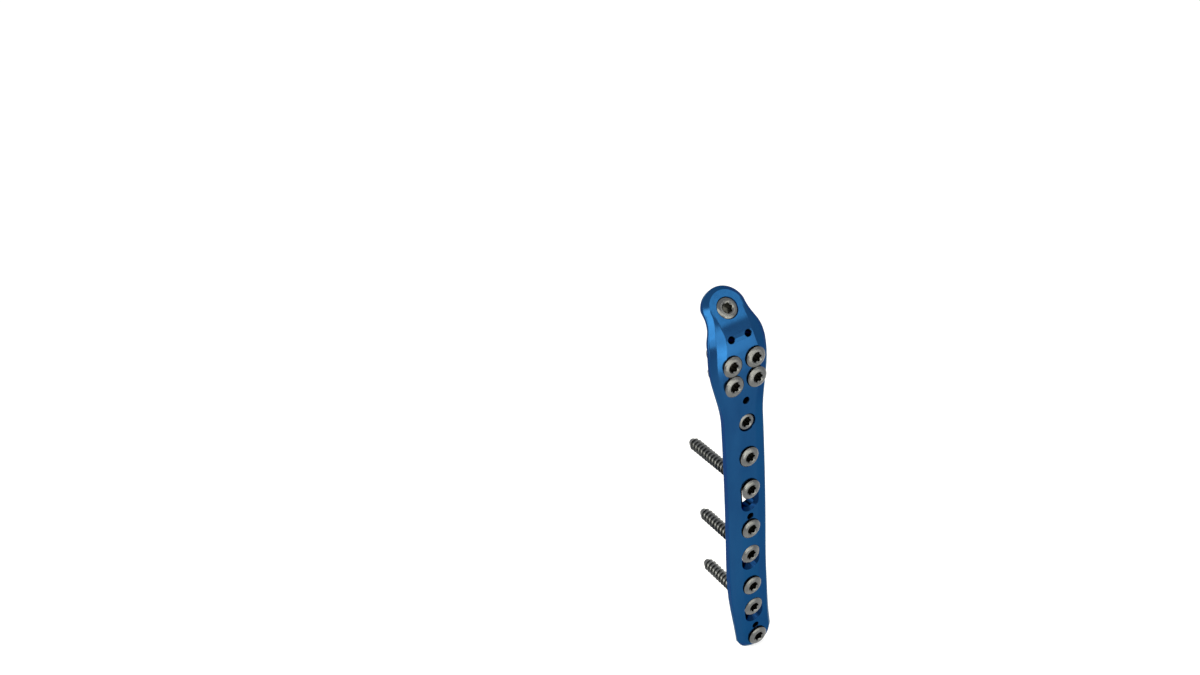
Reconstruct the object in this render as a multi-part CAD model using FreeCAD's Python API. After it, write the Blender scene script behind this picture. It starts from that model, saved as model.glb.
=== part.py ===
import FreeCAD, Part
import math
import os
from collections import namedtuple

# Anatomic bone plate for the back of the elbow end of the forearm bone, with its seated screws.
# Millimetres. The origin is where the middle wire hole opens on the outer face.
# +Z runs along the shaft towards the hooked head, the outer face looks along -Y, +X is to the right.
# A place along the plate is a station: the length of the outer face's mid line from the origin.

Vector = FreeCAD.Vector

# Side profile of the outer face
shaft_bow_radius = 820.0       # the shaft bows outward a little along its whole length
neck_length = 11.0             # from the end of that bow to the start of the hook
neck_lean = 6.5                # degrees that the outer face leans at the start of the hook
hook_radius = 12.5             # radius of the hook's outer face
lobe_lean = 46.0               # degrees that the flat lobe leans

# Side bow of the distal third, towards +X
side_bow_radius = 215.0
side_bow_station = -13.0

# Section of the plate
shaft_thickness = 3.2          # at the mid line
shaft_edge_depth = 3.6         # from the crown down to the lower edge of each side
end_thickness = 2.5            # the plate thins out towards both ends
end_edge_depth = 2.75
shaft_crown = 2.6              # half width of the flat crown on the shaft
shaft_shoulder = 5.3           # half width to the crease between the two side facets
shaft_half_width = 6.15
shaft_shoulder_drop = 0.5      # how far that crease lies below the crown
shaft_edge_drop = 1.25         # how far the top of the side wall lies below the crown
head_crown = 5.3               # the same five sizes across the screw cluster
head_shoulder = 7.5
head_half_width = 8.9
head_shoulder_drop = 0.95
head_edge_drop = 2.0
waist_crown = 4.2              # across the two wire holes of the hook
waist_shoulder = 6.8
waist_half_width = 8.4
wall_draft = 0.25              # the lower edge lies this much further in than the top of the wall
hollow_share = 0.5             # share of the bone side's half width that is flat, between two slopes

# Ends of the plate
lobe_radius = 6.25
lobe_flat_radius = 4.9
lobe_edge_drop = 1.1
distal_end_radius = 5.7
distal_flat_radius = 4.3
distal_end_margin = 4.7        # from the last screw hole's axis to the end

# Spacings up the plate, each from the hole below, the first from the middle wire hole
slot_1_spacing = 9.5
lock_2_spacing = 10.7
lock_1_spacing = 10.9
neck_wire_spacing = 6.9
lower_cluster_spacing = 5.9
upper_cluster_spacing = 5.9
hook_spacing = 3.2             # the hook starts here
hook_wire_spacing = 3.9
lobe_screw_spacing = 7.9

# Spacings down the plate, each from the hole above, the first from the middle wire hole
lock_3_spacing = 4.2
slot_2_spacing = 9.3
lock_4_spacing = 11.6
slot_3_spacing = 8.6
end_wire_spacing = 7.8
lock_5_spacing = 4.3

# Spacings across the plate, from the mid line
cluster_half_spacing = 3.6
hook_wire_half_spacing = 2.6

# Sizes of the holes
wire_hole_diameter = 1.8
slot_1_travel = 4.6            # how far each slot runs on below its screw
slot_2_travel = 2.4
slot_3_travel = 2.6

# Screws
thread_diameter = 3.5
head_diameter = 5.6
small_head_diameter = 4.9      # the first shaft screw has a smaller head
head_height = 2.1              # from the top of a head down its cone to the thread
head_rise = 0.95               # top of a head above the outer face
lobe_head_rise = 0.3
small_head_rise = -0.1
slot_1_head_rise = 1.1
slot_2_head_rise = 0.5
slot_3_head_rise = 0.6
socket_diameter = 3.0          # across the lobes of the star
socket_waist = 2.3             # across the hollows of the star
socket_lobe_share = 0.5        # share of each lobe's sector that lies at the full diameter
socket_depth = 1.7
lobe_screw_length = 12.0       # each length is from the outer face to the tip
cluster_screw_length = 10.0
shaft_screw_length = 10.0
slot_1_screw_length = 26.0
slot_2_screw_length = 22.0
slot_3_screw_length = 22.0

# Clearances
head_gap = 0.3                 # round a head, where its recess opens on the outer face
thread_gap = 0.2               # round a thread, in its hole
overshoot = 6.0                # how far the cutters reach past the plate

# Steps of the plate's sections along its length
straight_pitch = 8.0
neck_pitch = 4.0
hook_pitch = 2.0
profile_chord = 0.1            # chord that the mid line is summed over
end_spare = 2.0                # how far the bar runs past each rounded end before it is cut

# Stations that follow from the spacings
slot_1_station = slot_1_spacing
lock_2_station = slot_1_station + lock_2_spacing
lock_1_station = lock_2_station + lock_1_spacing
neck_wire_station = lock_1_station + neck_wire_spacing
lower_cluster_station = neck_wire_station + lower_cluster_spacing
upper_cluster_station = lower_cluster_station + upper_cluster_spacing
hook_station = upper_cluster_station + hook_spacing
neck_station = hook_station - neck_length
hook_wire_station = hook_station + hook_wire_spacing
lobe_screw_station = hook_wire_station + lobe_screw_spacing
lock_3_station = -lock_3_spacing
slot_2_station = lock_3_station - slot_2_spacing
lock_4_station = slot_2_station - lock_4_spacing
slot_3_station = lock_4_station - slot_3_spacing
end_wire_station = slot_3_station - end_wire_spacing
lock_5_station = end_wire_station - lock_5_spacing
distal_end_station = lock_5_station - distal_end_margin + distal_end_radius

Section = namedtuple(
    "Section", "crown shoulder half_width shoulder_drop edge_drop thickness edge_depth"
)
Screw = namedtuple("Screw", "name station across head rise length travel")


def profile_angle(station):
    """Lean of the outer face at a station, in radians."""
    neck_angle = neck_station / shaft_bow_radius
    hook_angle = math.radians(neck_lean)
    lobe_angle = math.radians(lobe_lean)
    if station <= neck_station:
        return station / shaft_bow_radius
    if station <= hook_station:
        share = (station - neck_station) / (hook_station - neck_station)
        return neck_angle + share * (hook_angle - neck_angle)
    return min(lobe_angle, hook_angle + (station - hook_station) / hook_radius)


def side_bow(station):
    """Sideways offset and turn of the mid line at a station."""
    run = max(0.0, side_bow_station - station)
    return run * run / (2.0 * side_bow_radius), run / side_bow_radius


def profile_point(station):
    """Place of the outer face's mid line at a station, summed over short chords."""
    count = max(1, int(math.ceil(abs(station) / profile_chord)))
    step = station / count
    y = 0.0
    z = 0.0
    for index in range(count):
        angle = profile_angle((index + 0.5) * step)
        y += math.sin(angle) * step
        z += math.cos(angle) * step
    return Vector(side_bow(station)[0], y, z)


class Place:
    """A point of the outer face's mid line with its three directions."""

    def __init__(self, station):
        lean = profile_angle(station)
        turn = side_bow(station)[1]
        along = Vector(0.0, math.sin(lean), math.cos(lean))
        self.point = profile_point(station)
        self.out = Vector(0.0, -math.cos(lean), math.sin(lean))
        self.across = Vector(math.cos(turn), 0.0, 0.0) + along * math.sin(turn)
        self.along = self.across.cross(self.out).negative()

    def at(self, across, out):
        """Point at the given offsets from the mid line."""
        return self.point + self.across * across + self.out * out

    def matrix(self, across=0.0):
        """Placement whose Z is the outward direction and whose Y runs along the plate."""
        turn = FreeCAD.Matrix()
        turn.A11, turn.A21, turn.A31 = self.across
        turn.A12, turn.A22, turn.A32 = self.along
        turn.A13, turn.A23, turn.A33 = self.out
        turn.A14, turn.A24, turn.A34 = self.at(across, 0.0)
        return turn


def smooth_value(marks, place):
    """Value at a place of a curve that runs smoothly through (place, value) marks, with no overshoot."""
    if place <= marks[0][0]:
        return marks[0][1]
    if place >= marks[-1][0]:
        return marks[-1][1]
    slopes = [(v1 - v0) / (p1 - p0) for (p0, v0), (p1, v1) in zip(marks, marks[1:])]
    tangents = [0.0]
    for before, after in zip(slopes, slopes[1:]):
        tangents.append(2.0 * before * after / (before + after) if before * after > 0.0 else 0.0)
    tangents.append(0.0)
    index = max(i for i, mark in enumerate(marks) if mark[0] <= place)
    (start, low), (end, high) = marks[index], marks[index + 1]
    span = end - start
    share = (place - start) / span
    rest = 1.0 - share
    return (
        low * rest * rest * (1.0 + 2.0 * share)
        + high * share * share * (3.0 - 2.0 * share)
        + tangents[index] * span * share * rest * rest
        - tangents[index + 1] * span * share * share * rest
    )


def section_marks():
    """The plate's named sections and where each holds."""
    full = (shaft_thickness, shaft_edge_depth)
    thin = (end_thickness, end_edge_depth)
    shaft = (shaft_crown, shaft_shoulder, shaft_half_width, shaft_shoulder_drop, shaft_edge_drop)
    cluster = (head_crown, head_shoulder, head_half_width, head_shoulder_drop, head_edge_drop)
    waist = (waist_crown, waist_shoulder, waist_half_width, head_shoulder_drop, head_edge_drop)
    lobe = (waist_crown, lobe_flat_radius, lobe_radius, 0.0, lobe_edge_drop)
    end = (shaft_crown, distal_flat_radius, distal_end_radius, 0.0, shaft_edge_drop)
    return [
        (distal_end_station, Section(*end, *thin)),
        (lock_4_station, Section(*shaft, *full)),
        (lock_1_station, Section(*shaft, *full)),
        (upper_cluster_station, Section(*cluster, *full)),
        (hook_wire_station, Section(*waist, *full)),
        (lobe_screw_station, Section(*lobe, *thin)),
    ]


def section_at(station):
    """Half widths, drops and depths of the plate's section at a station."""
    marks = section_marks()
    values = []
    for field in Section._fields:
        values.append(smooth_value([(place, getattr(row, field)) for place, row in marks], station))
    return Section(*values)


def section_wire(station):
    """Closed section of the plate: faceted outside, side walls, hollow bone side."""
    place = Place(station)
    row = section_at(station)
    lower = row.half_width - wall_draft
    flat = lower * hollow_share
    half = [
        (row.crown, 0.0),
        (row.shoulder, -row.shoulder_drop),
        (row.half_width, -row.edge_drop),
        (lower, -row.edge_depth),
        (flat, -row.thickness),
    ]
    outline = half + [(-x, h) for x, h in reversed(half)]
    points = [place.at(x, h) for x, h in outline]
    return Part.makePolygon(points + [points[0]])


def loft_stations():
    """Stations of the loft's sections, closer together where the plate bends."""
    start = lock_5_station - distal_end_margin - end_spare
    end = lobe_screw_station + lobe_radius + end_spare
    bend_end = hook_station + hook_radius * math.radians(lobe_lean - neck_lean)
    spans = [
        (start, lock_1_station, straight_pitch),
        (lock_1_station, hook_station, neck_pitch),
        (hook_station, bend_end, hook_pitch),
        (bend_end, end, neck_pitch),
    ]
    stations = [start]
    for low, high, pitch in spans:
        count = max(1, int(math.ceil((high - low) / pitch)))
        stations += [low + (high - low) * (index + 1) / count for index in range(count)]
    return stations


def plate_blank():
    """The bent bar of changing section, before its ends are rounded and its holes are cut."""
    wires = [section_wire(station) for station in loft_stations()]
    return Part.makeLoft(wires, True, False)


def end_waste(station, radius, flat_radius, drop, sign):
    """What an end loses: a half block past the station, less the disc that stays."""
    reach = head_half_width + 2.0 * overshoot
    corner = Vector(-reach, 0.0 if sign > 0 else -reach, -reach)
    block = Part.makeBox(2.0 * reach, reach, 2.0 * reach, corner)
    depth = shaft_edge_depth + overshoot
    rim = [
        Vector(0.0, 0.0, -depth),
        Vector(radius, 0.0, -depth),
        Vector(radius, 0.0, -drop),
        Vector(flat_radius, 0.0, 0.0),
        Vector(0.0, 0.0, 0.0),
    ]
    face = Part.Face(Part.makePolygon(rim + [rim[0]]))
    disc = face.revolve(Vector(0, 0, 0), Vector(0, 0, 1), 360.0)
    waste = block.cut(disc)
    waste.transformShape(Place(station).matrix())
    return waste


def revolve_profile(points):
    """Solid of revolution about Z from (radius, height) points."""
    wire = [Vector(radius, 0.0, height) for radius, height in points]
    face = Part.Face(Part.makePolygon(wire + [wire[0]]))
    return face.revolve(Vector(0, 0, 0), Vector(0, 0, 1), 360.0)


def hole_cutter(head, rise, travel=0.0):
    """Cutter of the hole for a head of the given diameter, drawn out along a slot by its travel.

    Its cone starts where the head's cone meets the thread and is wider than the head above that.
    """
    thread_radius = thread_diameter / 2.0
    hole_radius = thread_radius + thread_gap
    recess_radius = head / 2.0 + head_gap
    cone_foot = rise - head_height
    slope = (recess_radius - thread_radius) / -cone_foot
    half = [
        (hole_radius, -shaft_edge_depth - overshoot),
        (hole_radius, cone_foot + thread_gap / slope),
        (recess_radius + slope * overshoot, overshoot),
    ]
    cutter = revolve_profile([(0.0, half[0][1])] + half + [(0.0, half[-1][1])])
    if travel:
        far = cutter.copy()
        far.translate(Vector(0.0, -travel, 0.0))
        mirrored = [(-radius, height) for radius, height in reversed(half)]
        wire = [Vector(x, 0.0, z) for x, z in half + mirrored]
        middle = Part.Face(Part.makePolygon(wire + [wire[0]])).extrude(Vector(0.0, -travel, 0.0))
        cutter = cutter.fuse(middle).fuse(far)
    return cutter


def star_prism(top):
    """Socket cutter: a star of six lobes with straight flanks."""
    lobe_count = 6
    half_sector = math.pi / lobe_count
    points = []
    for index in range(lobe_count):
        centre = 2.0 * half_sector * index
        for radius, middle in ((socket_diameter / 2.0, 0.0), (socket_waist / 2.0, half_sector)):
            for side in (-1.0, 1.0):
                angle = centre + middle + side * socket_lobe_share * half_sector / 2.0
                points.append(Vector(radius * math.cos(angle), radius * math.sin(angle), 0.0))
    face = Part.Face(Part.makePolygon(points + [points[0]]))
    face.translate(Vector(0.0, 0.0, top - socket_depth))
    return face.extrude(Vector(0.0, 0.0, socket_depth + overshoot))


def screw(head, rise, length):
    """Bone screw about Z: star-drive head, seat cone and plain shank."""
    thread_radius = thread_diameter / 2.0
    body = revolve_profile([
        (0.0, -length),
        (thread_radius, -length),
        (thread_radius, rise - head_height),
        (head / 2.0, rise),
        (0.0, rise),
    ])
    return body.cut(star_prism(rise))


def screw_rows():
    """Every screw: name, station, offset across, head diameter, rise, length and travel of its slot."""
    rows = [
        Screw("lobe_screw", lobe_screw_station, 0.0, head_diameter, lobe_head_rise, lobe_screw_length, 0.0)
    ]
    for row_name, station in (("upper", upper_cluster_station), ("lower", lower_cluster_station)):
        for side_name, side in (("left", -1.0), ("right", 1.0)):
            name = "cluster_screw_%s_%s" % (row_name, side_name)
            across = side * cluster_half_spacing
            rows.append(Screw(name, station, across, head_diameter, head_rise, cluster_screw_length, 0.0))
    locks = [lock_1_station, lock_2_station, lock_3_station, lock_4_station, lock_5_station]
    for index, station in enumerate(locks):
        head = head_diameter if index else small_head_diameter
        rise = head_rise if index else small_head_rise
        name = "shaft_screw_%d" % (index + 1)
        rows.append(Screw(name, station, 0.0, head, rise, shaft_screw_length, 0.0))
    slots = [
        (slot_1_station, slot_1_head_rise, slot_1_screw_length, slot_1_travel),
        (slot_2_station, slot_2_head_rise, slot_2_screw_length, slot_2_travel),
        (slot_3_station, slot_3_head_rise, slot_3_screw_length, slot_3_travel),
    ]
    for index, (station, rise, length, travel) in enumerate(slots):
        rows.append(Screw("slot_screw_%d" % (index + 1), station, 0.0, head_diameter, rise, length, travel))
    return rows


def wire_holes():
    """Station and offset across of each wire hole."""
    holes = [(hook_wire_station, side * hook_wire_half_spacing) for side in (-1.0, 1.0)]
    return holes + [(station, 0.0) for station in (neck_wire_station, 0.0, end_wire_station)]


def bone_plate():
    """The plate: bent bar, rounded ends, screw holes, slots and wire holes."""
    body = plate_blank()
    body = body.cut(
        end_waste(lobe_screw_station, lobe_radius, lobe_flat_radius, lobe_edge_drop, 1)
    )
    body = body.cut(
        end_waste(distal_end_station, distal_end_radius, distal_flat_radius, shaft_edge_drop, -1)
    )
    for row in screw_rows():
        cutter = hole_cutter(row.head, row.rise, row.travel)
        cutter.transformShape(Place(row.station).matrix(row.across))
        body = body.cut(cutter)
    depth = shaft_edge_depth + overshoot
    for station, across in wire_holes():
        cutter = Part.makeCylinder(wire_hole_diameter / 2.0, depth + overshoot, Vector(0, 0, -depth))
        cutter.transformShape(Place(station).matrix(across))
        body = body.cut(cutter)
    return body


def write(name, shape):
    """Check that a shape is one valid solid and write it."""
    solid = shape.Solids[0]
    print(name, len(shape.Solids), solid.isValid(), round(solid.Volume, 2))
    solid.exportStep("parts/%s.step" % name)


os.makedirs("parts", exist_ok=True)
write("bone_plate", bone_plate())
for row in screw_rows():
    shape = screw(row.head, row.rise, row.length)
    shape.transformShape(Place(row.station).matrix(row.across))
    write(row.name, shape)
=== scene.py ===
"""Looks of a hooked bone plate and its seated screws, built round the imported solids.

The plate lies along one bent mid line. A place on it is a station: the length of that line from the
middle wire hole. Lengths of the object are in millimetres and turn into metres when a piece is finished.
"""

import logging
import math
from dataclasses import dataclass, fields
from enum import Enum

import bmesh
import bpy
from mathutils import Matrix, Vector


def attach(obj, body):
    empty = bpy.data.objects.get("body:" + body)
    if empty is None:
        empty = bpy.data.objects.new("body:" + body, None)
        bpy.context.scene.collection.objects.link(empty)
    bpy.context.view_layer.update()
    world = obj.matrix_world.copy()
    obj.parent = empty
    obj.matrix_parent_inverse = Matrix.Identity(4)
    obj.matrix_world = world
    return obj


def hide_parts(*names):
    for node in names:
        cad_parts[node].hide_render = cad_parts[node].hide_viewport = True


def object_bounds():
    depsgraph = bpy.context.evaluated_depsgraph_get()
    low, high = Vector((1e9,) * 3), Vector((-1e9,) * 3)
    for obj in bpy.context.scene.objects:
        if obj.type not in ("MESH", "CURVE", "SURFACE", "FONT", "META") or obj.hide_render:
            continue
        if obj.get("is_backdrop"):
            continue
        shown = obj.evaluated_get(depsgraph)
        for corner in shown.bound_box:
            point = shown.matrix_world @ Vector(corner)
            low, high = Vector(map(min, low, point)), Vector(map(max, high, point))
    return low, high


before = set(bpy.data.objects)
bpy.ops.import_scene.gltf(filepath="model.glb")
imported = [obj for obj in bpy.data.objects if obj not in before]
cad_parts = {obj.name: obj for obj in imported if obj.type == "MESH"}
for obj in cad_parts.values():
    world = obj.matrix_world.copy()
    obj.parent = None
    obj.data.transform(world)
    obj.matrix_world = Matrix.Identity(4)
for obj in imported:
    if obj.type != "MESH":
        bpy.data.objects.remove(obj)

log = logging.getLogger("bone_plate")

METRES = 0.001

# In millimetres: how close points merge, how close a point lies on a cutting plane, how short a sliver is.
MERGE = 0.001
FINE_MERGE = 0.0001
ON_PLANE = 0.00001
SLIVER = 0.01

ROUND_PROFILE = 0.5
FACET_WEIGHT = 100
BODY = "root"
REACH = "reach"

Profile = list[tuple[float, float]]
Triple = tuple[float, float, float]
Shape = bmesh.types.BMesh


class Slot(Enum):
    """Material slots of the record."""

    PLATE = "anodised_plate"
    SCREW = "bare_titanium"


class Joining(Enum):
    """What a second closed mesh does to the first."""

    CUT = "DIFFERENCE"
    ADD = "UNION"


def smooth_value(marks: list[tuple[float, float]], place: float) -> float:
    """Value of a curve through marks that never overshoots them.

    Args:
        marks: places and values, in rising order of place.
        place: where the value is wanted.

    Returns:
        The value there, held constant past the first and last mark.
    """
    if place <= marks[0][0]:
        return marks[0][1]
    if place >= marks[-1][0]:
        return marks[-1][1]
    slopes = [(v1 - v0) / (p1 - p0) for (p0, v0), (p1, v1) in zip(marks, marks[1:])]
    tangents = [0.0]
    for before, after in zip(slopes, slopes[1:]):
        tangents.append(2.0 * before * after / (before + after) if before * after > 0.0 else 0.0)
    tangents.append(0.0)
    index = max(i for i, mark in enumerate(marks) if mark[0] <= place)
    (start, low), (end, high) = marks[index], marks[index + 1]
    span = end - start
    share = (place - start) / span
    rest = 1.0 - share
    return (
        low * rest * rest * (1.0 + 2.0 * share)
        + high * share * share * (3.0 - 2.0 * share)
        + tangents[index] * span * share * rest * rest
        - tangents[index + 1] * span * share * share * rest
    )


def mesh_from(shape: Shape, name: str, material: bpy.types.Material | None = None) -> bpy.types.Object:
    """Turn a bmesh into an object of the scene and free it.

    Args:
        shape: the bmesh.
        name: name of the object and its mesh.
        material: finish of all its faces, if it has one.

    Returns:
        The object, with its place in its mesh.
    """
    mesh = bpy.data.meshes.new(name)
    shape.to_mesh(mesh)
    shape.free()
    if material is not None:
        mesh.materials.append(material)
    piece = bpy.data.objects.new(name, mesh)
    bpy.context.scene.collection.objects.link(piece)
    return piece


def line_of(shape: Shape, profile: Profile) -> list[bmesh.types.BMEdge]:
    """Add a profile to a bmesh as a chain of edges in the XZ plane.

    Args:
        shape: bmesh that gets the chain.
        profile: points of radius and height.

    Returns:
        The edges of the chain, in order.
    """
    verts = [shape.verts.new((radius, 0.0, height)) for radius, height in profile]
    return [shape.edges.new(pair) for pair in zip(verts, verts[1:])]


def spun(
    shape: Shape, edges: list[bmesh.types.BMEdge], angle: float, steps: int, centre: float = 0.0,
    climb: float = 0.0, full: bool = False,
) -> dict:
    """Spin a chain of edges about an upright axis.

    Args:
        shape: bmesh that holds the chain.
        edges: the chain.
        angle: angle of the spin in radians.
        steps: number of steps.
        centre: place of the axis along Y.
        climb: how far each step rises.
        full: whether the last step closes on the first.

    Returns:
        What the spin operator gives back.
    """
    return bmesh.ops.spin(
        shape, geom=edges, cent=(0.0, centre, 0.0), axis=(0.0, 0.0, 1.0), dvec=(0.0, 0.0, climb),
        angle=angle, steps=steps, use_merge=full, use_duplicate=False,
    )


def closed(shape: Shape) -> Shape:
    """Merge the seams and poles of a shape and turn its faces outward.

    Args:
        shape: the bmesh, whose faces leave no hole.

    Returns:
        The same bmesh.
    """
    bmesh.ops.remove_doubles(shape, verts=shape.verts, dist=MERGE)
    bmesh.ops.recalc_face_normals(shape, faces=shape.faces)
    return shape


def revolved(profile: Profile, steps: int) -> Shape:
    """Closed solid of revolution about Z.

    Args:
        profile: points of radius and height, which start and end on the axis.
        steps: number of faces round the axis.

    Returns:
        The solid as a bmesh.
    """
    shape = bmesh.new()
    spun(shape, line_of(shape, profile), math.tau, steps, full=True)
    return closed(shape)


def slot_solid(profile: Profile, travel: float, steps: int) -> Shape:
    """Closed solid with a profile swept round a slot: half turn, straight run, half turn, straight run.

    Args:
        profile: points of radius and height, which start and end on the axis.
        travel: length between the centres of the slot's ends, which runs along -Y.
        steps: number of faces round both ends together.

    Returns:
        The solid as a bmesh.
    """
    shape = bmesh.new()
    edges = line_of(shape, profile)
    for centre, step in ((0.0, -travel), (-travel, travel)):
        turned = spun(shape, edges, math.pi, steps // 2, centre)
        rim = [item for item in turned["geom_last"] if isinstance(item, bmesh.types.BMEdge)]
        drawn = bmesh.ops.extrude_edge_only(shape, edges=rim)
        moved = [item for item in drawn["geom"] if isinstance(item, bmesh.types.BMVert)]
        bmesh.ops.translate(shape, verts=moved, vec=(0.0, step, 0.0))
        edges = [item for item in drawn["geom"] if isinstance(item, bmesh.types.BMEdge)]
        edges = [edge for edge in edges if all(vert in moved for vert in edge.verts)]
    return closed(shape)


def combine(target: bpy.types.Object, tool: bpy.types.Object, joining: Joining = Joining.CUT) -> None:
    """Cut a closed mesh from another, or add it, for good, and remove the tool.

    Args:
        target: object that keeps the result.
        tool: object that is cut away or added, and then removed.
        joining: which of the two is done.
    """
    modifier = target.modifiers.new("combine", "BOOLEAN")
    modifier.operation = joining.value
    modifier.solver = "EXACT"
    modifier.material_mode = "TRANSFER"
    modifier.object = tool
    graph = bpy.context.evaluated_depsgraph_get()
    result = bpy.data.meshes.new_from_object(
        target.evaluated_get(graph), preserve_all_data_layers=True, depsgraph=graph
    )
    target.modifiers.clear()
    target.data = result
    bpy.data.objects.remove(tool)


def round_edges(shape: Shape, edges: list[bmesh.types.BMEdge], width: float, segments: int) -> None:
    """Round edges of a mesh.

    Args:
        shape: bmesh that holds the edges.
        edges: the edges to round.
        width: how far the rounding reaches from each edge.
        segments: number of faces across the rounding.
    """
    bmesh.ops.bevel(
        shape, geom=edges, offset=width, offset_type="OFFSET", segments=segments, profile=ROUND_PROFILE,
        affect="EDGES", material=-1, clamp_overlap=True,
    )


def round_folds(piece: bpy.types.Object, fold: float, width: float, segments: int, rims: bool) -> None:
    """Round the edges of a piece where its surface folds.

    Args:
        piece: the piece.
        fold: angle in degrees past which an edge is rounded.
        width: how far the rounding reaches from each edge.
        segments: number of faces across the rounding.
        rims: whether it takes only the edges where two finishes meet.
    """
    shape = bmesh.new()
    shape.from_mesh(piece.data)
    bmesh.ops.dissolve_degenerate(shape, dist=SLIVER, edges=shape.edges)
    edges = [edge for edge in shape.edges if math.degrees(edge.calc_face_angle(0.0)) > fold]
    if rims:
        edges = [edge for edge in edges if len({face.material_index for face in edge.link_faces}) > 1]
    round_edges(shape, edges, width, segments)
    shape.to_mesh(piece.data)
    shape.free()


def finish_piece(piece: bpy.types.Object, nodes: list[str], sharp: float) -> None:
    """Bring a piece to metres, smooth it with flat faces kept flat, and hang it on the frame.

    Args:
        piece: object whose mesh is in millimetres.
        nodes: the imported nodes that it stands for.
        sharp: angle in degrees past which an edge stays sharp.
    """
    mesh = piece.data
    mesh.transform(Matrix.Scale(METRES, 4))
    mesh.polygons.foreach_set("use_smooth", [True] * len(mesh.polygons))
    mesh.set_sharp_from_angle(angle=math.radians(sharp))
    mesh.update()
    facets = piece.modifiers.new("flat_facets", "WEIGHTED_NORMAL")
    facets.mode = "FACE_AREA"
    facets.weight = FACET_WEIGHT
    facets.keep_sharp = True
    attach(piece, BODY)
    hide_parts(*nodes)
    log.info("%s: %d faces", piece.name, len(mesh.polygons))


@dataclass(frozen=True)
class Grain:
    """Noise over the object's own coordinates: scale per metre, detail and stretch along its axes."""

    scale: float
    detail: float
    stretch: Triple = (1.0, 1.0, 1.0)


class Nodes:
    """A material's node tree, with short calls to add and join nodes."""

    noise_low: float = 0.3
    noise_high: float = 0.7

    def __init__(self, name: str) -> None:
        """Make an empty material with a Principled surface.

        Args:
            name: name of the material.
        """
        self.material = bpy.data.materials.new(name)
        self.material.use_nodes = True
        self.tree = self.material.node_tree
        self.surface = self.tree.nodes["Principled BSDF"]
        self.place = self.add("ShaderNodeTexCoord").outputs["Object"]

    def add(self, kind: str, **inputs: object) -> bpy.types.Node:
        """Add a node.

        Args:
            kind: Blender's name of the node type.
            inputs: values of its inputs, by name.

        Returns:
            The node.
        """
        node = self.tree.nodes.new(kind)
        for name, value in inputs.items():
            node.inputs[name].default_value = value
        return node

    def join(self, source: bpy.types.NodeSocket, target: bpy.types.NodeSocket) -> None:
        """Link two sockets."""
        self.tree.links.new(source, target)

    def maths(
        self, kind: str, first: bpy.types.NodeSocket, second: bpy.types.NodeSocket | float = 0.0
    ) -> bpy.types.NodeSocket:
        """One step of arithmetic.

        Args:
            kind: Blender's name of the operation.
            first: its first input.
            second: its second input, a socket or a number.

        Returns:
            The result.
        """
        node = self.add("ShaderNodeMath")
        node.operation = kind
        self.join(first, node.inputs[0])
        if isinstance(second, bpy.types.NodeSocket):
            self.join(second, node.inputs[1])
        else:
            node.inputs[1].default_value = second
        return node.outputs[0]

    def noise(self, grain: Grain) -> bpy.types.NodeSocket:
        """Noise over the object's own coordinates.

        Args:
            grain: its scale, detail and stretch.

        Returns:
            The noise, between 0 and 1.
        """
        mapping = self.add("ShaderNodeMapping", Scale=grain.stretch)
        self.join(self.place, mapping.inputs["Vector"])
        noise = self.add("ShaderNodeTexNoise", Scale=grain.scale, Detail=grain.detail)
        self.join(mapping.outputs["Vector"], noise.inputs["Vector"])
        return noise.outputs["Fac"]

    def rings(self, pitch: float) -> bpy.types.NodeSocket:
        """Waves round the axis that the mesh's reach attribute is measured from.

        Args:
            pitch: width of one ring, in millimetres.

        Returns:
            The height of the wave.
        """
        reach = self.add("ShaderNodeAttribute")
        reach.attribute_name = REACH
        return self.maths("SINE", self.maths("MULTIPLY", reach.outputs["Fac"], math.tau / pitch))

    def spread(self, value: bpy.types.NodeSocket, low: float, high: float) -> bpy.types.NodeSocket:
        """Spread the middle of a noise over a range.

        Args:
            value: the noise.
            low: what its dark parts give.
            high: what its light parts give.

        Returns:
            The value in the range.
        """
        node = self.add("ShaderNodeMapRange")
        node.inputs["From Min"].default_value = self.noise_low
        node.inputs["From Max"].default_value = self.noise_high
        node.inputs["To Min"].default_value = low
        node.inputs["To Max"].default_value = high
        self.join(value, node.inputs["Value"])
        return node.outputs["Result"]

    def blend(self, factor: bpy.types.NodeSocket, low: Triple, high: Triple) -> bpy.types.NodeSocket:
        """Colour between two colours.

        Args:
            factor: 0 for the first colour and 1 for the second.
            low: the first colour.
            high: the second colour.

        Returns:
            The colour.
        """
        node = self.add("ShaderNodeMix")
        node.data_type = "RGBA"
        colours = [socket for socket in node.inputs if socket.type == "RGBA"]
        self.join(factor, node.inputs["Factor"])
        for socket, colour in zip(colours, (low, high)):
            socket.default_value = (*colour, 1.0)
        return next(socket for socket in node.outputs if socket.type == "RGBA")

    def bump(self, height: bpy.types.NodeSocket, strength: float, depth: float) -> None:
        """Raise the surface by a height.

        Args:
            height: the height, as a share of the depth.
            strength: share of the bump that shows.
            depth: how deep it is, in metres.
        """
        node = self.add("ShaderNodeBump", Strength=strength, Distance=depth)
        self.join(height, node.inputs["Height"])
        self.join(node.outputs["Normal"], self.surface.inputs["Normal"])


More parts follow.
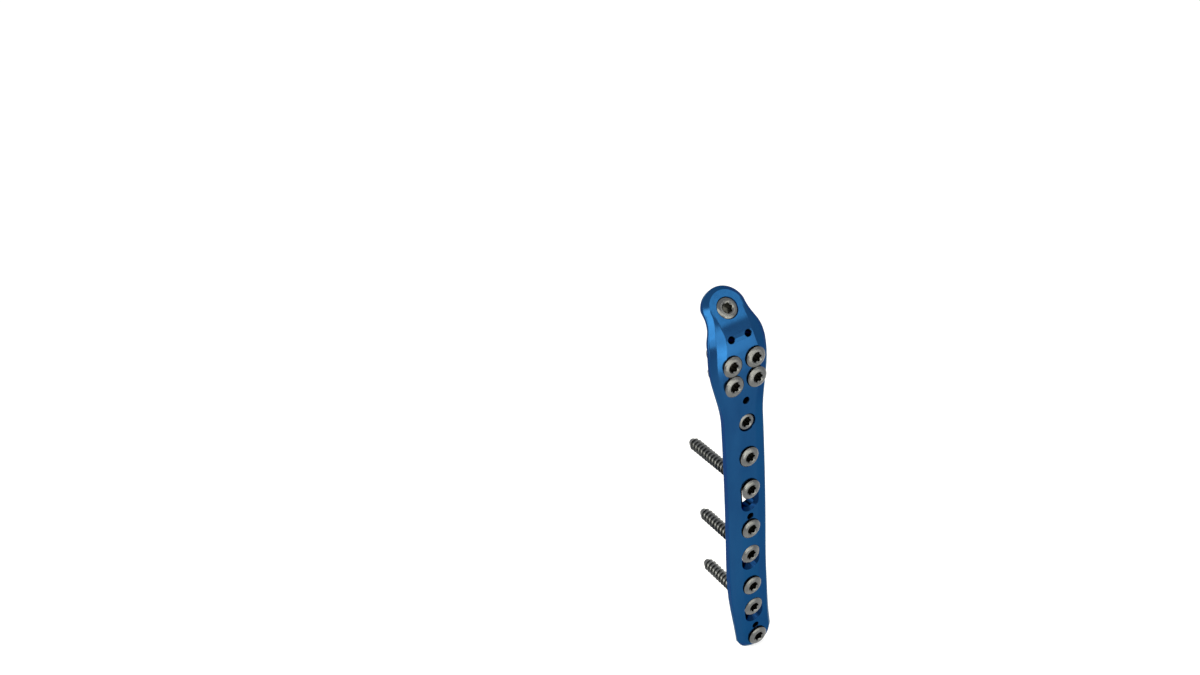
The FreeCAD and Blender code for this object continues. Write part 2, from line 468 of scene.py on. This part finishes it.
@dataclass(frozen=True)
class AnodisedBlue:
    """Blue anodised titanium with a satin grain along the plate."""

    name: str = "anodised_blue"
    deep: Triple = (0.0058, 0.0455, 0.137)
    light: Triple = (0.0074, 0.0555, 0.157)
    edge_tint: Triple = (0.3, 0.42, 0.53)
    roughness: tuple[float, float] = (0.17, 0.23)
    coat: float = 0.08
    coat_roughness: float = 0.3
    cloud: Grain = Grain(180.0, 3.0, (1.0, 1.0, 0.45))
    streak: Grain = Grain(900.0, 4.0, (1.0, 1.0, 0.15))
    grain: Grain = Grain(5200.0, 2.0, (1.0, 1.0, 0.6))
    grain_strength: float = 0.35
    grain_depth: float = 0.00001

    def build(self) -> bpy.types.Material:
        """Make the material.

        Returns:
            The material, with cloudy tone, streaky roughness and fine grain.
        """
        nodes = Nodes(self.name)
        surface = nodes.surface.inputs
        surface["Metallic"].default_value = 1.0
        surface["Specular Tint"].default_value = (*self.edge_tint, 1.0)
        surface["Coat Weight"].default_value = self.coat
        surface["Coat Roughness"].default_value = self.coat_roughness
        tone = nodes.spread(nodes.noise(self.cloud), 0.0, 1.0)
        nodes.join(nodes.blend(tone, self.deep, self.light), surface["Base Color"])
        nodes.join(nodes.spread(nodes.noise(self.streak), *self.roughness), surface["Roughness"])
        nodes.bump(nodes.noise(self.grain), self.grain_strength, self.grain_depth)
        return nodes.material


@dataclass(frozen=True)
class GreyTitanium:
    """Bare grey titanium, turned and lightly polished."""

    name: str = "grey_titanium"
    deep: Triple = (0.1, 0.103, 0.104)
    light: Triple = (0.136, 0.14, 0.142)
    roughness: tuple[float, float] = (0.2, 0.27)
    ring_pitch: float = 0.09
    cloud: Grain = Grain(700.0, 3.0)
    grain: Grain = Grain(7000.0, 2.0)
    grain_strength: float = 0.3
    grain_depth: float = 0.000008

    def build(self) -> bpy.types.Material:
        """Make the material.

        Returns:
            The material, with a faint cloud and the rings that turning leaves.
        """
        nodes = Nodes(self.name)
        surface = nodes.surface.inputs
        surface["Metallic"].default_value = 1.0
        cloud = nodes.noise(self.cloud)
        nodes.join(nodes.blend(nodes.spread(cloud, 0.0, 1.0), self.deep, self.light), surface["Base Color"])
        nodes.join(nodes.spread(cloud, *self.roughness), surface["Roughness"])
        height = nodes.maths("ADD", nodes.rings(self.ring_pitch), nodes.noise(self.grain))
        nodes.bump(height, self.grain_strength, self.grain_depth)
        return nodes.material


@dataclass(frozen=True)
class Finishes:
    """Finishes of the plate's outside, its screw holes and its wire holes, and of the screws and sockets."""

    face: AnodisedBlue = AnodisedBlue()
    # Darker blue in the screw holes and slots: painted shade, as the metal there is the same anodised blue
    # as outside.
    recess: AnodisedBlue = AnodisedBlue(
        "recess_painted_shade_blue", deep=(0.0025, 0.014, 0.05), light=(0.0035, 0.02, 0.068),
        edge_tint=(0.3, 0.33, 0.4), coat=0.0,
    )
    # Near black blue in the wire holes: painted shade.
    bore: AnodisedBlue = AnodisedBlue(
        "bore_painted_shade_blue", deep=(0.002, 0.006, 0.016), light=(0.003, 0.009, 0.024),
        edge_tint=(0.3, 0.3, 0.32), coat=0.0,
    )
    grey: GreyTitanium = GreyTitanium()
    # Darker grey inside the sockets: painted shade, as the socket is the same titanium as the rest of the
    # screw.
    dark: GreyTitanium = GreyTitanium("socket_painted_shade_grey", deep=(0.035, 0.035, 0.032), light=(0.055, 0.055, 0.05))


@dataclass(frozen=True)
class MidLine:
    """Mid line of the plate's outer face in millimetres, angles in radians."""

    shaft_bow_radius: float = 820.0
    neck_station: float = 42.0
    hook_station: float = 53.0
    neck_lean: float = math.radians(6.5)
    hook_radius: float = 12.5
    lobe_lean: float = math.radians(46.0)
    side_bow_radius: float = 215.0
    side_bow_station: float = -13.0
    chord: float = 0.1

    def lean(self, station: float) -> float:
        """Angle that the outer face leans back.

        Args:
            station: length along the mid line.

        Returns:
            The angle from upright, in radians.
        """
        neck = self.neck_station / self.shaft_bow_radius
        if station <= self.neck_station:
            return station / self.shaft_bow_radius
        if station <= self.hook_station:
            share = (station - self.neck_station) / (self.hook_station - self.neck_station)
            return neck + share * (self.neck_lean - neck)
        return min(self.lobe_lean, self.neck_lean + (station - self.hook_station) / self.hook_radius)

    def point(self, station: float) -> Vector:
        """Point of the mid line, summed over short chords.

        Args:
            station: length along the mid line.

        Returns:
            The point in millimetres.
        """
        count = max(1, math.ceil(abs(station) / self.chord))
        step = station / count
        run = max(0.0, self.side_bow_station - station)
        place = Vector((run * run / (2.0 * self.side_bow_radius), 0.0, 0.0))
        for index in range(count):
            lean = self.lean((index + 0.5) * step)
            place += Vector((0.0, math.sin(lean), math.cos(lean))) * step
        return place

    def place(self, station: float, across: float = 0.0) -> Matrix:
        """Place on the outer face: X across the plate, Y along it and Z out of it.

        Args:
            station: length along the mid line.
            across: offset from the mid line, along the plate's width.

        Returns:
            The 4 x 4 placement in millimetres.
        """
        lean = self.lean(station)
        turn = max(0.0, self.side_bow_station - station) / self.side_bow_radius
        line = Vector((0.0, math.sin(lean), math.cos(lean)))
        out = Vector((0.0, -math.cos(lean), math.sin(lean)))
        side = Vector((math.cos(turn), 0.0, 0.0)) + line * math.sin(turn)
        along = out.cross(side)
        point = self.point(station) + side * across
        return Matrix((
            (side.x, along.x, out.x, point.x),
            (side.y, along.y, out.y, point.y),
            (side.z, along.z, out.z, point.z),
            (0.0, 0.0, 0.0, 1.0),
        ))


@dataclass(frozen=True)
class BoneScrew:
    """One bone screw in its place on the plate, in millimetres.

    Rise is the height of its top over the plate's outer face, and length reaches from that face to its tip.
    Travel is the distance between the centres of its slot's ends, and 0 in a round hole.
    """

    node: str
    station: float
    across: float
    rise: float
    length: float
    head: float = 5.8
    travel: float = 0.0
    thread_radius: float = 1.75
    core_radius: float = 1.42
    pitch: float = 1.0
    thread_valley: float = 0.52
    crest_start: float = 0.78
    crest_end: float = 0.86
    thread_overlap: float = 0.15
    head_height: float = 2.1
    head_sunk: float = 0.5
    dome_height: float = 0.52
    rim_edge: float = 0.1
    ring_radius: float = 1.7
    ring_width: float = 0.06
    socket_radius: float = 1.47
    socket_hollow: float = 1.2
    socket_depth: float = 1.7
    lobes: int = 6
    lead_slope: float = 0.9
    tip_length: float = 1.6
    tip_radius: float = 0.9
    inset: float = 0.05
    steps: int = 72
    dome_steps: int = 8
    thread_steps: int = 36
    sharp_angle: float = 30.0

    @property
    def rim(self) -> float:
        """Height of the head's widest ring."""
        return self.rise - self.dome_height

    @property
    def cone_foot(self) -> float:
        """Height where the head's cone meets the thread."""
        return self.rise - self.head_height

    def head_solid(self) -> Shape:
        """Make the head with its seat cone, dome and the cone that leads into the socket.

        Returns:
            The head as a closed bmesh.
        """
        radius = self.head / 2.0
        dome_width = radius - self.ring_radius
        bend = 2.0 * math.atan(self.dome_height / dome_width)
        arc = dome_width / math.sin(bend)
        inner = self.ring_radius - self.ring_width
        foot = self.socket_hollow - self.inset
        profile = [
            (0.0, self.cone_foot - self.head_sunk),
            (self.core_radius - self.inset, self.cone_foot - self.head_sunk),
            (self.thread_radius, self.cone_foot),
            (radius - self.rim_edge / 2.0, self.rim - self.rim_edge),
        ]
        profile += [
            (
                self.ring_radius + arc * math.sin(bend * share / self.dome_steps),
                self.rise - arc * (1.0 - math.cos(bend * share / self.dome_steps)),
            )
            for share in range(self.dome_steps, -1, -1)
        ]
        profile += [
            (inner, self.rise),
            (foot, self.rise - (inner - foot) * self.lead_slope),
            (0.0, self.rise - (inner - foot) * self.lead_slope),
        ]
        return revolved(profile, self.steps)

    def thread(self) -> Shape:
        """Make the thread round its core, thinned to a point at the tip.

        Returns:
            The threaded shank as a closed bmesh.
        """
        top = self.cone_foot + self.thread_overlap
        bottom = -self.length
        shape = bmesh.new()
        profile = []
        for turn in range(math.ceil((top - bottom) / self.pitch) + 2):
            base = bottom + (turn - 1) * self.pitch
            profile += [
                (self.core_radius, base),
                (self.core_radius, base + self.thread_valley * self.pitch),
                (self.thread_radius, base + self.crest_start * self.pitch),
                (self.thread_radius, base + self.crest_end * self.pitch),
            ]
        climb = self.pitch / self.thread_steps
        spun(shape, line_of(shape, profile), math.tau, self.thread_steps, climb=climb)
        bmesh.ops.remove_doubles(shape, verts=shape.verts, dist=FINE_MERGE)
        for height, normal in ((bottom, (0.0, 0.0, -1.0)), (top, (0.0, 0.0, 1.0))):
            bmesh.ops.bisect_plane(
                shape, geom=shape.verts[:] + shape.edges[:] + shape.faces[:], dist=ON_PLANE,
                plane_co=(0.0, 0.0, height), plane_no=normal, clear_outer=True, clear_inner=False,
            )
        bmesh.ops.holes_fill(shape, edges=[edge for edge in shape.edges if edge.is_boundary], sides=0)
        for vert in shape.verts:
            share = min(1.0, (vert.co.z - bottom) / self.tip_length)
            limit = self.tip_radius + self.inset + share * (self.thread_radius - self.tip_radius)
            reach = vert.co.to_2d().length
            if reach > limit:
                vert.co.x *= limit / reach
                vert.co.y *= limit / reach
        bmesh.ops.recalc_face_normals(shape, faces=shape.faces)
        return shape

    def socket(self) -> Shape:
        """Make the cutter of the lobed socket, its wall a wave round the axis.

        Returns:
            The cutter as a closed bmesh.
        """
        shape = bmesh.new()
        bmesh.ops.create_circle(shape, cap_ends=True, radius=self.socket_radius, segments=self.steps)
        middle = (self.socket_radius + self.socket_hollow) / 2.0
        swing = (self.socket_radius - self.socket_hollow) / 2.0
        for vert in shape.verts:
            angle = math.atan2(vert.co.y, vert.co.x)
            vert.co *= (middle + swing * math.cos(self.lobes * angle)) / self.socket_radius
            vert.co.z = self.rise - self.socket_depth
        drawn = bmesh.ops.extrude_face_region(shape, geom=shape.faces[:])
        moved = [item for item in drawn["geom"] if isinstance(item, bmesh.types.BMVert)]
        bmesh.ops.translate(shape, verts=moved, vec=(0.0, 0.0, 2.0 * self.socket_depth))
        bmesh.ops.recalc_face_normals(shape, faces=shape.faces)
        return shape

    def build(self, line: MidLine, finish: bpy.types.Material, dark: bpy.types.Material) -> None:
        """Make the screw, keep each point's reach from its axis, and hang it on the frame.

        Args:
            line: mid line that it stands on.
            finish: material of the turned metal.
            dark: material inside the socket, a darker grey that paints in the shade there.
        """
        piece = mesh_from(self.head_solid(), f"{self.node}_turned", finish)
        combine(piece, mesh_from(self.thread(), "thread", finish), Joining.ADD)
        # The socket's faces take the darker grey, which paints in the shade inside it.
        combine(piece, mesh_from(self.socket(), "socket", dark))
        reach = piece.data.attributes.new(REACH, "FLOAT", "POINT")
        reach.data.foreach_set("value", [vert.co.to_2d().length for vert in piece.data.vertices])
        piece.data.transform(line.place(self.station, self.across))
        finish_piece(piece, [self.node], self.sharp_angle)


@dataclass(frozen=True)
class Section:
    """Half widths, drops and depths of the plate's section in millimetres."""

    crown: float
    shoulder: float
    half_width: float
    shoulder_drop: float
    edge_drop: float
    thickness: float = 3.2
    edge_depth: float = 3.6


@dataclass(frozen=True)
class BonePlate:
    """The plate: a bent bar of changing section with rounded ends, screw holes, slots and wire holes."""

    line: MidLine = MidLine()
    shaft: Section = Section(2.6, 5.3, 6.15, 0.5, 1.25)
    cluster: Section = Section(5.3, 7.5, 8.9, 0.95, 2.0)
    waist: Section = Section(4.2, 6.8, 8.4, 0.95, 2.0)
    lobe: Section = Section(4.2, 4.9, 6.25, 0.0, 1.1, 2.5, 2.75)
    distal: Section = Section(2.6, 4.3, 5.7, 0.0, 1.25, 2.5, 2.75)
    distal_margin: float = 4.7
    wall_draft: float = 0.25
    hollow_share: float = 0.5
    lobe_station: float = 64.8
    lobe_rise: float = 0.3
    lobe_screw_length: float = 12.0
    cluster_stations: tuple[float, float] = (49.8, 43.9)
    cluster_half_spacing: float = 3.6
    lock_stations: tuple[float, ...] = (31.1, 20.2, -4.2, -25.1, -45.8)
    lock_rise: float = 0.95
    lock_length: float = 10.0
    small_head: float = 5.05
    small_rise: float = -0.1
    slot_stations: tuple[float, ...] = (9.5, -13.5, -33.7)
    slot_travels: tuple[float, ...] = (4.6, 2.4, 2.6)
    slot_rises: tuple[float, ...] = (1.1, 0.5, 0.6)
    slot_lengths: tuple[float, ...] = (26.0, 22.0, 22.0)
    slot_core_radius: float = 1.25
    slot_pitch: float = 1.25
    wire_places: tuple[tuple[float, float], ...] = (
        (56.9, -2.6), (56.9, 2.6), (38.0, 0.0), (0.0, 0.0), (-41.5, 0.0)
    )
    wire_radius: float = 0.9
    wire_rim: float = 0.18
    head_gap: float = 0.1
    thread_gap: float = 0.2
    overshoot: float = 2.5
    end_spare: float = 2.0
    end_clear: float = 1.0
    straight_pitch: float = 4.0
    neck_pitch: float = 2.0
    hook_pitch: float = 1.0
    hole_steps: int = 72
    outline_round: float = 0.3
    outline_segments: int = 4
    crease_round: float = 0.16
    crease_segments: int = 2
    end_round: float = 0.2
    end_fold: float = 28.0
    rim_round: float = 0.13
    rim_fold: float = 25.0
    sharp_angle: float = 17.0

    @property
    def distal_station(self) -> float:
        """Station of the centre that the distal end is rounded about."""
        return self.lock_stations[-1] - self.distal_margin + self.distal.half_width

    def screws(self) -> list[BoneScrew]:
        """Every screw of the plate.

        Returns:
            The screws, in the order of the record.
        """
        rows = [BoneScrew("lobe_screw", self.lobe_station, 0.0, self.lobe_rise, self.lobe_screw_length)]
        for level, station in zip(("upper", "lower"), self.cluster_stations):
            for side, sign in (("left", -1.0), ("right", 1.0)):
                across = sign * self.cluster_half_spacing
                name = f"cluster_screw_{level}_{side}"
                rows.append(BoneScrew(name, station, across, self.lock_rise, self.lock_length))
        first, *others = self.lock_stations
        rows.append(BoneScrew(
            "shaft_screw_1", first, 0.0, self.small_rise, self.lock_length, head=self.small_head
        ))
        for index, station in enumerate(others, 2):
            rows.append(BoneScrew(f"shaft_screw_{index}", station, 0.0, self.lock_rise, self.lock_length))
        slots = zip(self.slot_stations, self.slot_rises, self.slot_lengths, self.slot_travels)
        for index, (station, rise, length, travel) in enumerate(slots, 1):
            rows.append(BoneScrew(
                f"slot_screw_{index}", station, 0.0, rise, length, travel=travel,
                core_radius=self.slot_core_radius, pitch=self.slot_pitch,
            ))
        return rows

    def section_at(self, station: float) -> Section:
        """Section of the plate, blended between the named ones.

        Args:
            station: length along the mid line.

        Returns:
            The section there.
        """
        rows = (
            (self.distal_station, self.distal),
            (self.lock_stations[-2], self.shaft),
            (self.lock_stations[0], self.shaft),
            (self.cluster_stations[0], self.cluster),
            (self.wire_places[0][0], self.waist),
            (self.lobe_station, self.lobe),
        )
        return Section(*(
            smooth_value([(place, getattr(section, size.name)) for place, section in rows], station)
            for size in fields(Section)
        ))

    def ring_points(self, station: float) -> list[Vector]:
        """Corners of the section: five on the right, then their mirror images.

        Args:
            station: length along the mid line.

        Returns:
            The corners in millimetres, in order round the section.
        """
        row = self.section_at(station)
        lower = row.half_width - self.wall_draft
        half = [
            (row.crown, 0.0),
            (row.shoulder, -row.shoulder_drop),
            (row.half_width, -row.edge_drop),
            (lower, -row.edge_depth),
            (lower * self.hollow_share, -row.thickness),
        ]
        place = self.line.place(station)
        outline = half + [(-across, height) for across, height in reversed(half)]
        return [place @ Vector((across, 0.0, height)) for across, height in outline]

    def stations(self) -> list[float]:
        """Stations of the bar's rings, close together where it bends or changes.

        Returns:
            The stations, in rising order.
        """
        start = self.lock_stations[-1] - self.distal_margin - self.end_spare
        end = self.lobe_station + self.lobe.half_width + self.end_spare
        places = [start]
        for low, high, pitch in (
            (start, self.lock_stations[1], self.straight_pitch),
            (self.lock_stations[1], self.line.hook_station, self.neck_pitch),
            (self.line.hook_station, end, self.hook_pitch),
        ):
            count = max(1, math.ceil((high - low) / pitch))
            places += [low + (high - low) * (index + 1) / count for index in range(count)]
        return places

    def bar(self) -> Shape:
        """Make the bent bar with its long edges rounded, before its ends and holes are cut.

        Returns:
            The bar as a closed bmesh.
        """
        shape = bmesh.new()
        rings = []
        for station in self.stations():
            verts = [shape.verts.new(point) for point in self.ring_points(station)]
            edges = [shape.edges.new((a, b)) for a, b in zip(verts, verts[1:] + verts[:1])]
            if rings:
                bmesh.ops.bridge_loops(shape, edges=rings[-1][1] + edges)
            rings.append((verts, edges))
        for verts, _ in (rings[0], rings[-1]):
            shape.faces.new(verts)
        bmesh.ops.recalc_face_normals(shape, faces=shape.faces)
        columns = len(rings[0][0])
        crown, shoulder, wall_top, wall_foot = range(4)
        for corners, width, segments in (
            ((wall_top, wall_foot), self.outline_round, self.outline_segments),
            ((crown, shoulder), self.crease_round, self.crease_segments),
        ):
            wanted = set(corners) | {columns - 1 - corner for corner in corners}
            chain = [
                shape.edges.get((before[0][column], after[0][column]))
                for before, after in zip(rings, rings[1:])
                for column in wanted
                if before[0][column].is_valid and after[0][column].is_valid
            ]
            round_edges(shape, [edge for edge in chain if edge is not None], width, segments)
        return shape

    def end_waste(self, station: float, end: Section, sign: float) -> bpy.types.Object:
        """Make what a rounded end loses: a half block past its centre, less the disc that stays.

        Args:
            station: centre that the end is rounded about.
            end: section at that centre.
            sign: 1 for the lobe's end and -1 for the distal end.

        Returns:
            The waste as an object in its place.
        """
        reach = 2.0 * self.cluster.half_width
        depth = self.shaft.edge_depth + self.overshoot
        block = bmesh.new()
        bmesh.ops.create_cube(block, size=2.0 * reach)
        bmesh.ops.scale(block, verts=block.verts, vec=(1.0, 0.5, 1.0))
        bmesh.ops.translate(block, verts=block.verts, vec=(0.0, sign * reach / 2.0, 0.0))
        slope = (end.half_width - end.shoulder) / end.edge_drop
        disc = revolved([
            (0.0, -depth), (end.half_width, -depth), (end.half_width, -end.edge_drop),
            (end.shoulder - slope * self.end_clear, self.end_clear), (0.0, self.end_clear),
        ], 2 * self.hole_steps)
        waste = mesh_from(block, "end_waste")
        combine(waste, mesh_from(disc, "end_disc"))
        waste.data.transform(self.line.place(station))
        return waste

    def screw_cutter(self, screw: BoneScrew) -> Shape:
        """Make the cutter of a screw's hole or slot: bore below, cone above, straight out of the plate.

        Args:
            screw: the screw that stands there.

        Returns:
            The cutter as a closed bmesh.
        """
        bore = screw.thread_radius + self.thread_gap
        recess = screw.head / 2.0 + self.head_gap
        slope = (recess - screw.thread_radius) / -screw.cone_foot
        bottom = -self.shaft.edge_depth - self.overshoot
        profile = [
            (0.0, bottom),
            (bore, bottom),
            (bore, screw.cone_foot + self.thread_gap / slope),
            (recess + slope * self.overshoot, self.overshoot),
            (0.0, self.overshoot),
        ]
        if screw.travel:
            return slot_solid(profile, screw.travel, self.hole_steps)
        return revolved(profile, self.hole_steps)

    def wire_cutter(self) -> Shape:
        """Make the cutter of a wire hole with a small cone at its mouth.

        Returns:
            The cutter as a closed bmesh.
        """
        bottom = -self.shaft.edge_depth - self.overshoot
        return revolved([
            (0.0, bottom),
            (self.wire_radius, bottom),
            (self.wire_radius, -self.wire_rim),
            (self.wire_radius + self.wire_rim + self.overshoot, self.overshoot),
            (0.0, self.overshoot),
        ], self.hole_steps // 2)

    def cut_hole(
        self, piece: bpy.types.Object, cutter: Shape, station: float, across: float, wall: bpy.types.Material
    ) -> None:
        """Cut one hole square to the mid line.

        Args:
            piece: the plate.
            cutter: the cutter, about its own axis.
            station: place of the hole along the mid line.
            across: offset of the hole from the mid line.
            wall: material of the hole's wall, a darker blue that paints in the shade inside the hole.
        """
        hole = mesh_from(cutter, "hole", wall)
        hole.data.transform(self.line.place(station, across))
        combine(piece, hole)

    def build(
        self, screws: list[BoneScrew], face: bpy.types.Material, recess: bpy.types.Material,
        bore: bpy.types.Material,
    ) -> None:
        """Make the plate and hang it on the frame.

        Args:
            screws: the screws that stand in it.
            face: material of its outside.
            recess: material of the screw holes and slots, a darker blue that paints in the shade in them.
            bore: material of the wire holes, a near black blue that paints in the shade in them.
        """
        piece = mesh_from(self.bar(), "plate", face)
        combine(piece, self.end_waste(self.lobe_station, self.lobe, 1.0))
        combine(piece, self.end_waste(self.distal_station, self.distal, -1.0))
        round_folds(piece, self.end_fold, self.end_round, self.outline_segments, False)
        # The holes take the darker recess and bore materials, which paint in the shade inside them.
        for screw in screws:
            self.cut_hole(piece, self.screw_cutter(screw), screw.station, screw.across, recess)
        for station, across in self.wire_places:
            self.cut_hole(piece, self.wire_cutter(), station, across, bore)
        round_folds(piece, self.rim_fold, self.rim_round, self.crease_segments, True)
        finish_piece(piece, ["bone_plate"], self.sharp_angle)


@dataclass(frozen=True)
class Softbox:
    """A lamp as the plate's head sees it.

    Angles are in degrees and the distance in millimetres. A radiance of 1 looks white.
    """

    name: str
    azimuth: float
    elevation: float
    width: float
    height: float
    distance: float
    radiance: float


@dataclass(frozen=True)
class Studio:
    """Floor, light and camera. Angles are in degrees and lengths in millimetres."""

    aim: Triple = (0.0, 8.0, 54.0)
    softboxes: tuple[Softbox, ...] = (
        Softbox("left_softbox", -71.0, 38.0, 46.0, 25.0, 500.0, 5.4),
        Softbox("left_front_softbox", -36.0, 24.0, 24.0, 24.0, 500.0, 3.8),
        Softbox("side_softbox", -114.0, 6.0, 42.0, 48.0, 230.0, 5.2),
        Softbox("front_softbox", -9.0, -6.5, 14.0, 41.0, 200.0, 6.0),
        Softbox("front_top_softbox", -7.5, 25.0, 21.0, 22.0, 300.0, 4.0),
        Softbox("crown_softbox", -14.0, 40.5, 20.0, 9.0, 400.0, 2.6),
        Softbox("middle_softbox", 18.5, -9.5, 31.0, 35.0, 200.0, 3.3),
        Softbox("middle_top_softbox", 13.5, 21.0, 21.0, 18.0, 300.0, 2.4),
        Softbox("lobe_softbox", 42.0, 44.0, 14.0, 12.0, 400.0, 2.7),
    )
    spread: float = 100.0
    lamp_colour: Triple = (1.0, 0.96, 0.8)
    azimuth: float = -31.175
    elevation: float = 34.661
    roll: float = -4.236
    distance: float = 486.8
    focal_pixels: float = 1826.2
    origin_pixel: tuple[float, float] = (750.4, 516.1)
    frame_pixels: tuple[int, int] = (1200, 675)
    sensor: float = 36.0
    clip: tuple[float, float] = (0.01, 50.0)
    floor_half: float = 3000.0
    floor_colour: Triple = (0.6, 0.6, 0.6)
    floor_roughness: float = 0.9
    floor_lift: float = 0.56
    world_fill: float = 0.75
    white: Triple = (1.0, 1.0, 1.0)

    @staticmethod
    def way(azimuth: float, elevation: float) -> Vector:
        """Direction of an azimuth and an elevation.

        Args:
            azimuth: degrees from the front, rising to the right.
            elevation: degrees above the horizon.

        Returns:
            The unit vector that points there.
        """
        turn, rise = math.radians(azimuth), math.radians(elevation)
        return Vector((math.sin(turn) * math.cos(rise), -math.cos(turn) * math.cos(rise), math.sin(rise)))

    def camera(self) -> None:
        """Put the camera at the photo's viewing angle."""
        turn, roll = math.radians(self.azimuth), math.radians(self.roll)
        back = self.way(self.azimuth, self.elevation)
        right = Vector((math.cos(turn), math.sin(turn), 0.0))
        up = back.cross(right)
        side = right * math.cos(roll) + up * math.sin(roll)
        head = up * math.cos(roll) - right * math.sin(roll)
        width, height = self.frame_pixels
        scale = self.distance / self.focal_pixels
        place = back * self.distance
        place -= side * (self.origin_pixel[0] - width / 2.0) * scale
        place += head * (self.origin_pixel[1] - height / 2.0) * scale
        data = bpy.data.cameras.new("camera")
        data.sensor_width = self.sensor
        data.lens = self.focal_pixels * self.sensor / width
        data.clip_start, data.clip_end = self.clip
        camera = bpy.data.objects.new("camera", data)
        bpy.context.scene.collection.objects.link(camera)
        matrix = Matrix((side, head, back)).transposed().to_4x4()
        matrix.translation = place * METRES
        camera.matrix_world = matrix
        bpy.context.scene.camera = camera

    @staticmethod
    def seen(tree: bpy.types.NodeTree) -> bpy.types.NodeSocket:
        """Tell a look from spreading light.

        Args:
            tree: node tree that gets the nodes.

        Returns:
            1 where the camera, a mirror or a clear surface looks, and 0 where light spreads.
        """
        path = tree.nodes.new("ShaderNodeLightPath")
        seen = path.outputs["Is Camera Ray"]
        for name in ("Is Glossy Ray", "Is Transmission Ray"):
            either = tree.nodes.new("ShaderNodeMath")
            either.operation = "MAXIMUM"
            tree.links.new(seen, either.inputs[0])
            tree.links.new(path.outputs[name], either.inputs[1])
            seen = either.outputs[0]
        return seen

    def floor(self, height: float) -> None:
        """Lay a pale floor, lifted to white where it is seen.

        Args:
            height: height of the floor in metres.
        """
        shape = bmesh.new()
        bmesh.ops.create_grid(shape, x_segments=1, y_segments=1, size=self.floor_half * METRES)
        bmesh.ops.translate(shape, verts=shape.verts, vec=(0.0, 0.0, height))
        nodes = Nodes("pale_floor")
        surface = nodes.surface.inputs
        surface["Base Color"].default_value = (*self.floor_colour, 1.0)
        surface["Roughness"].default_value = self.floor_roughness
        surface["Specular IOR Level"].default_value = 0.0
        surface["Emission Color"].default_value = (*self.white, 1.0)
        lift = nodes.add("ShaderNodeMapRange")
        lift.inputs["To Max"].default_value = self.floor_lift
        nodes.join(self.seen(nodes.tree), lift.inputs["Value"])
        nodes.join(lift.outputs["Result"], surface["Emission Strength"])
        mesh_from(shape, "floor", nodes.material)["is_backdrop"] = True

    def world(self) -> None:
        """Make surroundings that are white as seen and a plain level as light."""
        world = bpy.data.worlds.new("studio")
        world.use_nodes = True
        bpy.context.scene.world = world
        tree = world.node_tree
        background = tree.nodes["Background"]
        level = tree.nodes.new("ShaderNodeMapRange")
        level.inputs["To Min"].default_value = self.world_fill
        level.inputs["To Max"].default_value = 1.0
        tree.links.new(self.seen(tree), level.inputs["Value"])
        tree.links.new(level.outputs["Result"], background.inputs["Strength"])
        background.inputs["Color"].default_value = (*self.white, 1.0)

    def softbox(self, box: Softbox) -> None:
        """Hang a rectangular lamp that faces the plate's head, seen only by light and reflections.

        Args:
            box: its place, size and radiance.
        """
        way = self.way(box.azimuth, box.elevation)
        data = bpy.data.lights.new(box.name, "AREA")
        data.shape = "RECTANGLE"
        data.size = 2.0 * box.distance * METRES * math.tan(math.radians(box.width / 2.0))
        data.size_y = 2.0 * box.distance * METRES * math.tan(math.radians(box.height / 2.0))
        data.color = self.lamp_colour
        data.spread = math.radians(self.spread)
        half = data.spread / 2.0
        data.energy = box.radiance * math.pi * data.size * data.size_y * (1.0 - half / math.tan(half))
        lamp = bpy.data.objects.new(box.name, data)
        bpy.context.scene.collection.objects.link(lamp)
        lamp.location = (Vector(self.aim) + way * box.distance) * METRES
        lamp.rotation_mode = "QUATERNION"
        lamp.rotation_quaternion = way.to_track_quat("Z", "Y")
        lamp.visible_camera = False

    def build(self) -> None:
        """Make the whole studio round the finished object."""
        low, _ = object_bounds()
        self.camera()
        self.floor(low.z)
        self.world()
        for box in self.softboxes:
            self.softbox(box)
        bpy.context.scene.view_settings.view_transform = "Standard"
        log.info("studio: %d lamps", len(self.softboxes))


def main() -> None:
    """Build the plate, its screws and the studio."""
    logging.basicConfig(level=logging.INFO, format="%(name)s: %(message)s")
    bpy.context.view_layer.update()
    finishes = Finishes()
    plate = BonePlate()
    screws = plate.screws()
    plate.build(screws, finishes.face.build(), finishes.recess.build(), finishes.bore.build())
    grey = finishes.grey.build()
    dark = finishes.dark.build()
    for screw in screws:
        screw.build(plate.line, grey, dark)
    Studio().build()


if __name__ == "__main__":
    main()
